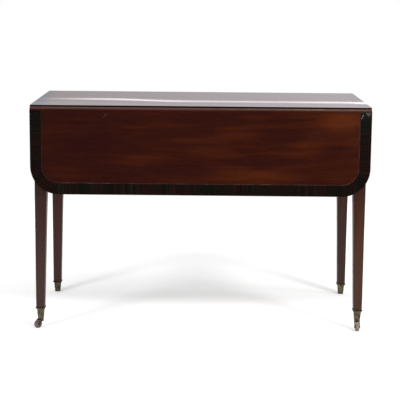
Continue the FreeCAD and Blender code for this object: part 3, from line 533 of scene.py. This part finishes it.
def stringing(name, polish):
    """A thin line of pale wood that the polish has darkened, most of all at the left end."""
    finish = Finish(name)
    patch = finish.noise(finish.place(), all_round(LINE_SCALE), detail=3.0, roughness=0.6)
    colour = finish.ramp(patch, *LINE_STOPS)
    left = finish.step(finish.split(finish.place())["X"], *LINE_DARK_X)
    colour = finish.dim(colour, finish.span(left, 1.0, LINE_DARK_FACTOR))
    return finish.polish(polish, Base_Color=colour, Roughness=finish.span(patch, *LINE_ROUGHNESS))


# Brass: clean and tarnished tones of each kind, with the roughness of each tone
HORN_TONES = ((0.120, 0.082, 0.066), (0.035, 0.024, 0.020))
HORN_ROUGHNESS = (0.36, 0.58)
KNOB_TONES = ((0.500, 0.370, 0.180), (0.180, 0.130, 0.062))
KNOB_ROUGHNESS = (0.18, 0.4)
CAP_TONES = ((0.160, 0.135, 0.090), (0.056, 0.047, 0.032))
CAP_ROUGHNESS = (0.34, 0.55)
WHEEL_TONES = ((0.380, 0.300, 0.268), (0.140, 0.104, 0.092))
WHEEL_ROUGHNESS = (0.36, 0.58)
WHEEL_METAL = 0.2

# Tarnish, specks and worn edges of all brass
TARNISH_SCALE = 95.0
TARNISH_LIMITS = (0.48, 0.78)
SPECK_SCALE = 900.0
SPECK_SHARE = 0.25
SPECK_ROUGHNESS = 0.08
SPECK_HEIGHT = 0.06 * MILLIMETRE
BRASS_WEAR = 0.8 * MILLIMETRE

# Black on the caps, partly grimy and partly painted shade under the collar, and darker at the foot, in
# millimetres from the foot of the collar and from the foot of the cap
GRIME_AND_SHADE_TONE = (0.028, 0.021, 0.017)
GRIME_ROUGHNESS = 0.15
COLLAR_GRIME_AND_SHADE = (-1.2, 0.8)
COLLAR_GRIME_AND_SHADE_SHARE = 0.6
FOOT_DARKENING = (3.0, 0.0)
BLOTCH_SCALE = 160.0
BLOTCH_FACTORS = (0.2, 0.95)

# Iron and its rust
IRON_TONE = (0.055, 0.050, 0.047)
RUST_TONE = (0.075, 0.036, 0.020)
RUST_SCALE = 120.0
RUST_LIMITS = (0.45, 0.7)
IRON_METAL = (0.85, 0.25)
IRON_ROUGHNESS = (0.42, 0.75)
PIT_SCALE = 1400.0
PIT_HEIGHT = 0.08 * MILLIMETRE


def brass(name, tones, roughness, grime_and_shade=None, metal=1.0):
    """Cast brass with tarnish in patches, bright rubbed edges and, where asked, a black mask that is
    partly grimy and partly painted shade.
    """
    finish = Finish(name)
    place = finish.place()
    patch = finish.noise(place, all_round(TARNISH_SCALE), detail=5.0, roughness=0.65)
    speck = finish.noise(place, all_round(SPECK_SCALE))
    tarnish = finish.step(finish.plus(patch, finish.times(speck, SPECK_SHARE)), *TARNISH_LIMITS)
    dull = finish.math("SUBTRACT", tarnish, finish.edges(BRASS_WEAR), clamp=True)
    colour = finish.mix(dull, *tones)
    rough = finish.plus(finish.span(tarnish, *roughness), finish.times(speck, SPECK_ROUGHNESS))
    # Where asked, a black mask, partly grimy and partly painted shade
    if grime_and_shade:
        dirt_and_shade = grime_and_shade(finish)
        colour = finish.mix(dirt_and_shade, colour, GRIME_AND_SHADE_TONE)
        rough = finish.plus(rough, finish.times(dirt_and_shade, GRIME_ROUGHNESS))
    return finish.dress(
        Base_Color=colour, Metallic=metal, Roughness=rough, Normal=finish.bump(speck, SPECK_HEIGHT))


def shaded(tones, shade):
    """Tones made paler or darker by a shade."""
    return [tuple(shade * level for level in tone) for tone in tones]


def wheel_brass(name, shade):
    """Brass of a wheel, dull under dust, paler or darker by a shade, which on the left wheel is painted
    shade.
    """
    return brass(name, shaded(WHEEL_TONES, shade), WHEEL_ROUGHNESS, metal=WHEEL_METAL)


def cap_brass(name, shade):
    """Olive-brown brass of a leg's cap, paler or darker by a shade, grimy and in painted shade under its
    collar, darker at its foot.
    """
    low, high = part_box(name)

    def grime_and_shade(finish):
        z = finish.split(finish.place())["Z"]
        # Partly grimy and partly painted shade under the collar, and darker at the foot
        collar = finish.zone(z, high.z - COLLAR_HEIGHT, *COLLAR_GRIME_AND_SHADE)
        foot = finish.zone(z, low.z, *FOOT_DARKENING)
        blotch = finish.noise(finish.place(), all_round(BLOTCH_SCALE), detail=3.0)
        grimy_and_shaded = finish.math("MAXIMUM", finish.times(collar, COLLAR_GRIME_AND_SHADE_SHARE), foot)
        return finish.math("MULTIPLY", grimy_and_shaded, finish.span(blotch, *BLOTCH_FACTORS), clamp=True)

    return brass(name, shaded(CAP_TONES, shade), CAP_ROUGHNESS, grime_and_shade)


def iron(name):
    """Wrought iron, dark with brown rust in patches."""
    finish = Finish(name)
    place = finish.place()
    rust = finish.noise(place, all_round(RUST_SCALE), detail=5.0, roughness=0.7)
    patch = finish.step(rust, *RUST_LIMITS)
    pit = finish.noise(place, all_round(PIT_SCALE))
    return finish.dress(
        Base_Color=finish.mix(patch, IRON_TONE, RUST_TONE), Metallic=finish.span(patch, *IRON_METAL),
        Roughness=finish.span(patch, *IRON_ROUGHNESS), Normal=finish.bump(pit, PIT_HEIGHT))


# Rounding that wear has given to the long sharp edges of each family of pieces
EDGE_ROUNDING = {
    "mahogany": 1.0 * MILLIMETRE,
    "ebony": 0.3 * MILLIMETRE,
    "oak": 0.7 * MILLIMETRE,
    "beech": 0.9 * MILLIMETRE,
}
ROUNDING_SEGMENTS = 2
WELD_DISTANCE = 0.01 * MILLIMETRE
FLAT_ANGLE = math.radians(0.5)
SHARP_ANGLE = math.radians(38)

# Shortest edges that are rounded. On the top board only the long sides are: its ends meet the inlay
LONG_EDGE = 18 * MILLIMETRE
TOP_LONG_EDGE = 600 * MILLIMETRE

# Ends of the names of pieces that rounding would spoil, or that lie flush with their neighbours
SHARP_PIECES = ("cockbeads", "leaf_board", "end_rail_left", "top_crossbands")

# Faces without polish, by the way they look, and the cosine within which a face looks that way
BARE_FACES = {
    "front_leaf_board": (0.0, 1.0, 0.0),
    "back_leaf_board": (0.0, -1.0, 0.0),
    "top_board": (0.0, 0.0, -1.0),
    "drawer_front": (-1.0, 0.0, 0.0),
}
FACING_COSINE = 0.9


def modifier_group(name):
    """An empty geometry node group with its way in and its way out."""
    group = bpy.data.node_groups.new(name, "GeometryNodeTree")
    group.interface.new_socket("Geometry", in_out="INPUT", socket_type="NodeSocketGeometry")
    group.interface.new_socket("Geometry", in_out="OUTPUT", socket_type="NodeSocketGeometry")
    return group, group.nodes.new("NodeGroupInput"), group.nodes.new("NodeGroupOutput")


def chain(group, *steps):
    """Links the geometry through a row of nodes."""
    for before, after in zip(steps, steps[1:]):
        group.links.new(before.outputs[0], after.inputs[0])


def more_than(group, output, limit):
    """A test of whether a value is more than a limit."""
    test = group.nodes.new("FunctionNodeCompare")
    test.operation = "GREATER_THAN"
    test.inputs["B"].default_value = limit
    group.links.new(output, test.inputs["A"])
    return test.outputs[0]


def sharp_test(group):
    """A test of whether an edge is sharp."""
    fold = group.nodes.new("GeometryNodeInputMeshEdgeAngle")
    return more_than(group, fold.outputs["Unsigned Angle"], SHARP_ANGLE)


def weld_group():
    """Welds the faces of a CAD mesh together and drops its stored normals."""
    group, entry, leave = modifier_group("weld_faces")
    weld = group.nodes.new("GeometryNodeMergeByDistance")
    weld.inputs["Distance"].default_value = WELD_DISTANCE
    normals = group.nodes.new("GeometryNodeSetMeshNormal")
    normals.mode = "SHARPNESS"
    chain(group, entry, weld, normals, leave)
    return group


def mark_group(name, shortest):
    """Marks the sharp edges of a mesh that are longer than a limit for rounding."""
    group, entry, leave = modifier_group(name)
    ends = group.nodes.new("GeometryNodeInputMeshEdgeVertices")
    length = group.nodes.new("ShaderNodeVectorMath")
    length.operation = "DISTANCE"
    group.links.new(ends.outputs["Position 1"], length.inputs[0])
    group.links.new(ends.outputs["Position 2"], length.inputs[1])
    both = group.nodes.new("FunctionNodeBooleanMath")
    group.links.new(more_than(group, length.outputs["Value"], shortest), both.inputs[0])
    group.links.new(sharp_test(group), both.inputs[1])
    store = group.nodes.new("GeometryNodeStoreNamedAttribute")
    store.domain = "EDGE"
    store.inputs["Name"].default_value = "bevel_weight_edge"
    group.links.new(both.outputs[0], store.inputs["Value"])
    chain(group, entry, store, leave)
    return group


def sharpen_group():
    """Keeps the edges that were not rounded sharp in shading."""
    group, entry, leave = modifier_group("keep_sharp_edges")
    normals = group.nodes.new("GeometryNodeSetMeshNormal")
    normals.mode = "SHARPNESS"
    group.links.new(sharp_test(group), normals.inputs["Edge Sharpness"])
    chain(group, entry, normals, leave)
    return group


weld_faces = weld_group()
mark_long_edges = mark_group("mark_long_edges", LONG_EDGE)
mark_top_edges = mark_group("mark_top_edges", TOP_LONG_EDGE)
keep_sharp_edges = sharpen_group()


def round_edges(node, width, marks):
    """Rounds the marked edges of a CAD node as wear has, with modifiers alone."""
    node.modifiers.new("weld", "NODES").node_group = weld_faces
    flat = node.modifiers.new("flat", "DECIMATE")
    flat.decimate_type = "DISSOLVE"
    flat.angle_limit = FLAT_ANGLE
    node.modifiers.new("mark", "NODES").node_group = marks
    bevel = node.modifiers.new("bevel", "BEVEL")
    bevel.width = width
    bevel.segments = ROUNDING_SEGMENTS
    bevel.limit_method = "WEIGHT"
    bevel.use_clamp_overlap = False
    node.modifiers.new("sharpen", "NODES").node_group = keep_sharp_edges
    even = node.modifiers.new("even", "WEIGHTED_NORMAL")
    even.keep_sharp = True


def bare_face(node, direction, material):
    """Leaves the faces of a node that look one way, in its own frame, without polish."""
    group, entry, leave = modifier_group(f"{node.name}_bare_face")
    normal = group.nodes.new("GeometryNodeInputNormal")
    facing = group.nodes.new("ShaderNodeVectorMath")
    facing.operation = "DOT_PRODUCT"
    facing.inputs[1].default_value = direction
    group.links.new(normal.outputs[0], facing.inputs[0])
    paint = group.nodes.new("GeometryNodeSetMaterial")
    paint.inputs["Material"].default_value = material
    chosen = more_than(group, facing.outputs["Value"], FACING_COSINE)
    group.links.new(chosen, paint.inputs["Selection"])
    chain(group, entry, paint, leave)
    node.modifiers.new("bare_face", "NODES").node_group = group


# Legs, caps and wheels that are lighter, darker or warmer than the others in the photograph
PLAIN_HUE = (1.0, 1.0, 1.0)
LEG_HUES = {"leg_front_right": (1.28, 1.06, 0.66), "leg_back_left": (1.20, 1.02, 0.96)}
CAP_SHADES = {"foot_cap_left": 0.72, "foot_cap_right": 1.3, "castor_cap_left": 1.12}
# The left wheel is darker as painted shade: it faces sideways, half in shade
WHEEL_SHADES = {"castor_wheel_left": 0.58, "castor_wheel_right": 1.0}

brass_of_horns = brass("brass_horns", HORN_TONES, HORN_ROUGHNESS)
brass_of_knobs = brass("brass_knobs", KNOB_TONES, KNOB_ROUGHNESS)
dark_iron = iron("dark_iron")
leaf_line = stringing("leaf_line", LEAF_POLISH)
top_line = stringing("top_line", TOP_POLISH)


def longest_side(node_name):
    """The axis that a piece is longest along, which its grain follows."""
    low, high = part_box(node_name)
    size = high - low
    return "xyz"[max(range(3), key=lambda axis: size[axis])]


def brass_finish(name):
    """The finish of a brass piece."""
    if name in WHEEL_SHADES:
        return wheel_brass(name, WHEEL_SHADES[name])
    if "knobs" in name:
        return brass_of_knobs
    if "horn" in name:
        return brass_of_horns
    return cap_brass(name, CAP_SHADES.get(name, 1.0))


def finish_of(name, family, along, seed):
    """The finish of a piece, by its family and its place."""
    on_top = name.startswith("top")
    if name == "front_leaf_board":
        return polished_mahogany(name, along, seed, shift=front_leaf_figure, marks=field_scratches)
    if name == "top_board":
        return polished_mahogany(name, along, seed, TOP_TONES, TOP_POLISH, marks=rule_joint_shade_and_highlight)
    if name in ("back_leaf_board", "drawer_front"):
        return polished_mahogany(name, along, seed)
    if family == "mahogany":
        return waxed_mahogany(name, along, seed, LEG_HUES.get(name, PLAIN_HUE))
    if family == "ebony" and on_top:
        return crossband(name, end_run, TOP_POLISH)
    if family == "ebony":
        return crossband(name, band_run, LEAF_POLISH, band_chips if name.startswith("front") else None)
    if family == "stringing":
        return top_line if on_top else leaf_line
    if family in PLAIN_WOOD_TONES:
        return bare_timber(name, along, seed, PLAIN_WOOD_TONES[family])
    return brass_finish(name) if family == "brass" else dark_iron


def finish_nodes():
    """Gives every CAD node its finish, its rounded edges and its bare face."""
    for seed, (name, node) in enumerate(sorted(nodes.items()), 1):
        family = node.material_slots[0].material.name
        along = longest_side(name)
        material = finish_of(name, family, along, seed)
        for slot in node.material_slots:
            slot.material = material
        if family in EDGE_ROUNDING and not name.endswith(SHARP_PIECES):
            marks = mark_top_edges if name == "top_board" else mark_long_edges
            round_edges(node, EDGE_ROUNDING[family], marks)
        if name in BARE_FACES:
            bare_face(node, BARE_FACES[name], bare_timber(f"{name}_bare", along, seed, RAW_TONES))


finish_nodes()

# Camera, from the corners of the top and the feet in the photograph
IMAGE_PIXELS = 400
FOCAL_PIXELS = 1265
SENSOR_WIDTH = 36.0
CAMERA_PLACE = Vector((0.0, -4.195, 1.104))
CAMERA_PITCH = math.radians(9.81)
CAMERA_ROLL = math.radians(-0.53)


def make_camera():
    """A camera square to the front of the table, tipped down and rolled a little."""
    forward = Vector((0.0, math.cos(CAMERA_PITCH), -math.sin(CAMERA_PITCH)))
    level = Vector((1.0, 0.0, 0.0))
    down = forward.cross(level)
    right = math.cos(CAMERA_ROLL) * level + math.sin(CAMERA_ROLL) * down
    up = math.sin(CAMERA_ROLL) * level - math.cos(CAMERA_ROLL) * down
    data = bpy.data.cameras.new("camera")
    data.sensor_width = SENSOR_WIDTH
    data.lens = FOCAL_PIXELS * SENSOR_WIDTH / IMAGE_PIXELS
    camera = bpy.data.objects.new("camera", data)
    turn = Matrix((right, up, -forward)).transposed()
    camera.matrix_world = Matrix.Translation(CAMERA_PLACE) @ turn.to_4x4()
    bpy.context.collection.objects.link(camera)
    bpy.context.scene.camera = camera


make_camera()

# Floor, with its glow to the camera and the two slopes of a painted pool of light, a brighter strip
# between the feet
FLOOR_RADIUS = 2.3
FLOOR_CORNERS = 96
FLOOR_COLOUR = (0.80, 0.80, 0.80, 1.0)
FLOOR_ROUGHNESS = 0.9
FLOOR_GLOW = 0.345
FLOOR_GLOW_IN_LIGHT_POOL = 0.47
LIGHT_POOL_BACK_Y = (0.20, 0.0)
LIGHT_POOL_FRONT_Y = (-0.26, -0.10)

# Lamps in front at both sides and at the right-hand end: name, place and watts
LAMPS = (
    ("lamp_left", Vector((-3.6, -4.5, 5.0)), 150.0),
    ("lamp_right", Vector((3.6, -4.5, 5.0)), 208.0),
    ("lamp_side", Vector((5.2, -1.1, 4.6)), 50.0),
)
LAMP_DIAMETER = 1.5
LAMP_TARGET = Vector((0.0, 0.0, 0.45))

# Light from all round, at the side and from above
AMBIENT_SIDE = 0.22
AMBIENT_TOP = 1.4
AMBIENT_Z = (0.5, 1.0)

# Room in reflections: its dark and pale parts and a window, each between two directions
ROOM_DARK = 0.025
ROOM_PALE = 0.7
ROOM_BEHIND_Y = (-0.1, 0.4)
ROOM_BEHIND_Z = (-0.04, 0.02)
ROOM_ABOVE_Z = (0.15, 0.8)
ROOM_WINDOW = 0.2
WINDOW_X = (0.08, 0.14)
WINDOW_Y = (-0.9, -0.97)
WINDOW_Z = (-0.135, -0.095)

# Reflection card: its size, and its plain light below and above the line
CARD_Y = 2.6
CARD_HALF_WIDTH = 2.6
CARD_TOP = 2.6
CARD_LOWER = 0.60
CARD_UPPER = 0.74
CARD_UPPER_RISE = 0.03
CARD_GAIN_X = 0.11

# Bright line on the card: its height, its softness, and its gains as start, end and amount along x
CARD_LINE_LEFT_Z = 0.9655
CARD_LINE_RIGHT_Z = 0.9738
CARD_LINE_BEND_X = (-0.5, -0.1)
CARD_LINE_OUTER = 0.0063
CARD_LINE_INNER = 0.0021
CARD_LINE_GAINS = (
    (-0.95, -0.42, 1.13),
    (-0.27, 0.10, -0.39),
    (0.35, 0.75, 0.38),
    (0.77, 0.86, 0.42),
)

# Tints of the card: low, high at the left and the right, and at the far left
CARD_TINT_LOW = (1.0, 0.955, 0.985)
CARD_TINTS_HIGH = ((1.0, 0.915, 0.930), (1.0, 0.935, 0.985))
CARD_TINTS_HIGH_X = (0.1, 0.5)
CARD_TINT_RISE = 0.12
CARD_TINT_FAR = (0.90, 0.895, 1.0)
CARD_TINT_FAR_X = (-0.79, -0.87)


def stage_object(name, points, material):
    """A flat piece of the studio, which is no part of the table."""
    mesh = bpy.data.meshes.new(name)
    mesh.from_pydata(points, [], [list(range(len(points)))])
    mesh.materials.append(material)
    thing = bpy.data.objects.new(name, mesh)
    bpy.context.collection.objects.link(thing)
    return thing


def camera_rays(finish):
    """1 for rays straight from the camera."""
    return finish.node("LightPath").outputs["Is Camera Ray"]


def mirrored_rays(finish):
    """1 for rays that show a thing in a reflection or through glass."""
    path = finish.node("LightPath").outputs
    return finish.math("MAXIMUM", path["Is Glossy Ray"], path["Is Transmission Ray"])


def make_floor():
    """A white floor with a painted pool of light, a brighter strip between the front and back feet as in
    the photograph.
    """
    finish = Finish("floor")
    y = finish.split(finish.place())["Y"]
    # Painted pool of light: the floor glows brighter in a strip between the feet, which washes out the
    # shadow there
    light_pool = finish.times(finish.step(y, *LIGHT_POOL_BACK_Y), finish.step(y, *LIGHT_POOL_FRONT_Y))
    seen = finish.math("MAXIMUM", camera_rays(finish), mirrored_rays(finish))
    glow = finish.times(seen, finish.span(light_pool, FLOOR_GLOW, FLOOR_GLOW_IN_LIGHT_POOL))
    material = finish.dress(
        Base_Color=FLOOR_COLOUR, Roughness=FLOOR_ROUGHNESS, Specular_IOR_Level=0.0,
        Emission_Color=WHITE, Emission_Strength=glow)
    turns = [2 * math.pi * index / FLOOR_CORNERS for index in range(FLOOR_CORNERS)]
    rim = [(FLOOR_RADIUS * math.cos(turn), FLOOR_RADIUS * math.sin(turn), 0.0) for turn in turns]
    stage_object("floor", rim, material)


def make_card():
    """A card behind the table that only the polish sees, with a bright line across it."""
    finish = Finish("reflection_card")
    x, _, z = finish.split(finish.place())
    line_z = finish.span(finish.step(x, *CARD_LINE_BEND_X), CARD_LINE_LEFT_Z, CARD_LINE_RIGHT_Z)
    height = finish.minus(z, line_z)
    upper = finish.step(height, 0.0, CARD_UPPER_RISE)
    plain = finish.plus(finish.span(upper, CARD_LOWER, CARD_UPPER), finish.times(x, CARD_GAIN_X))
    line = finish.step(finish.math("ABSOLUTE", height), CARD_LINE_OUTER, CARD_LINE_INNER)
    shine = 0.0
    for start, end, gain in CARD_LINE_GAINS:
        shine = finish.plus(shine, finish.times(finish.step(x, start, end), gain))
    glow = finish.plus(plain, finish.times(line, shine))
    high_tint = finish.mix(finish.step(x, *CARD_TINTS_HIGH_X), *CARD_TINTS_HIGH)
    tint = finish.mix(finish.step(height, 0.0, CARD_TINT_RISE), CARD_TINT_LOW, high_tint)
    tint = finish.mix(finish.step(x, *CARD_TINT_FAR_X), tint, CARD_TINT_FAR)
    material = finish.dress(
        Base_Color=BLACK, Specular_IOR_Level=0.0, Emission_Color=tint, Emission_Strength=glow)
    card = stage_object("reflection_card", [
        (-CARD_HALF_WIDTH, CARD_Y, 0.0), (CARD_HALF_WIDTH, CARD_Y, 0.0),
        (CARD_HALF_WIDTH, CARD_Y, CARD_TOP), (-CARD_HALF_WIDTH, CARD_Y, CARD_TOP)], material)
    card.visible_camera = False
    card.visible_diffuse = False
    card.visible_shadow = False


def make_lamp(name, place, watts):
    """A round lamp that looks at the table and shows neither itself nor its reflection."""
    data = bpy.data.lights.new(name, "AREA")
    data.shape = "DISK"
    data.size = LAMP_DIAMETER
    data.energy = watts
    lamp = bpy.data.objects.new(name, data)
    lamp.location = place
    lamp.rotation_mode = "QUATERNION"
    lamp.rotation_quaternion = (LAMP_TARGET - place).to_track_quat("-Z", "Y")
    lamp.visible_camera = False
    lamp.visible_glossy = False
    bpy.context.collection.objects.link(lamp)


def make_world():
    """White to the camera, pale light all round, and in reflections a room that is dark at the front."""
    finish = Finish("studio", bpy.data.worlds, "Background")
    x, y, z = finish.split(finish.node("TexCoord").outputs["Generated"])
    behind = finish.times(finish.step(y, *ROOM_BEHIND_Y), finish.step(z, *ROOM_BEHIND_Z))
    above = finish.step(z, *ROOM_ABOVE_Z)
    walls = finish.span(finish.math("MAXIMUM", behind, above), ROOM_DARK, ROOM_PALE)
    pane = finish.times(finish.step(x, *WINDOW_X), finish.step(z, *WINDOW_Z))
    window = finish.times(pane, finish.step(y, *WINDOW_Y))
    room = finish.plus(walls, finish.times(window, ROOM_WINDOW))
    ambient = finish.span(finish.step(z, *AMBIENT_Z), AMBIENT_SIDE, AMBIENT_TOP)
    light = finish.node("Mix", Factor=mirrored_rays(finish), A=ambient, B=room).outputs[0]
    shown = finish.node("Mix", Factor=camera_rays(finish), A=light, B=1.0).outputs[0]
    bpy.context.scene.world = finish.dress(Color=WHITE, Strength=shown)


make_floor()
make_card()
for lamp_name, lamp_place, lamp_watts in LAMPS:
    make_lamp(lamp_name, lamp_place, lamp_watts)
make_world()
bpy.context.scene.view_settings.view_transform = "Standard"
